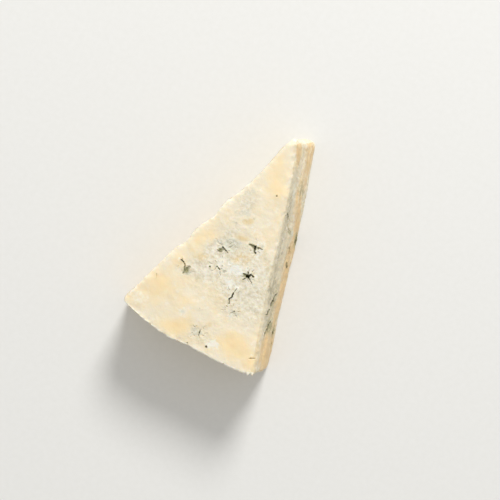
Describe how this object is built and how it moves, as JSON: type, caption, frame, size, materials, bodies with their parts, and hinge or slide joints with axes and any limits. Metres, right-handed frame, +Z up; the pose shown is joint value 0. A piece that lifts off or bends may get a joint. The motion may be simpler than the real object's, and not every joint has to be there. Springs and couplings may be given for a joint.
{
  "type": "blue cheese wedge",
  "caption": "Wedge of blue cheese cut from a wheel: curved rind face, blunt tip, a leaning cut face, and torn openings lined with blue-green mould.",
  "frame": {"origin": "middle of the flat base, on the surface the wedge stands on", "axes": "+Z up, +Y along the wedge from its rind to its tip, +X towards the leaning cut face"},
  "size_m": [0.09, 0.1342, 0.0409],
  "materials": {
    "cheese_paste": null
  },
  "bodies": {
    "root": {"cheese_wedge": "cheese_paste"}
  },
  "joints": []
}
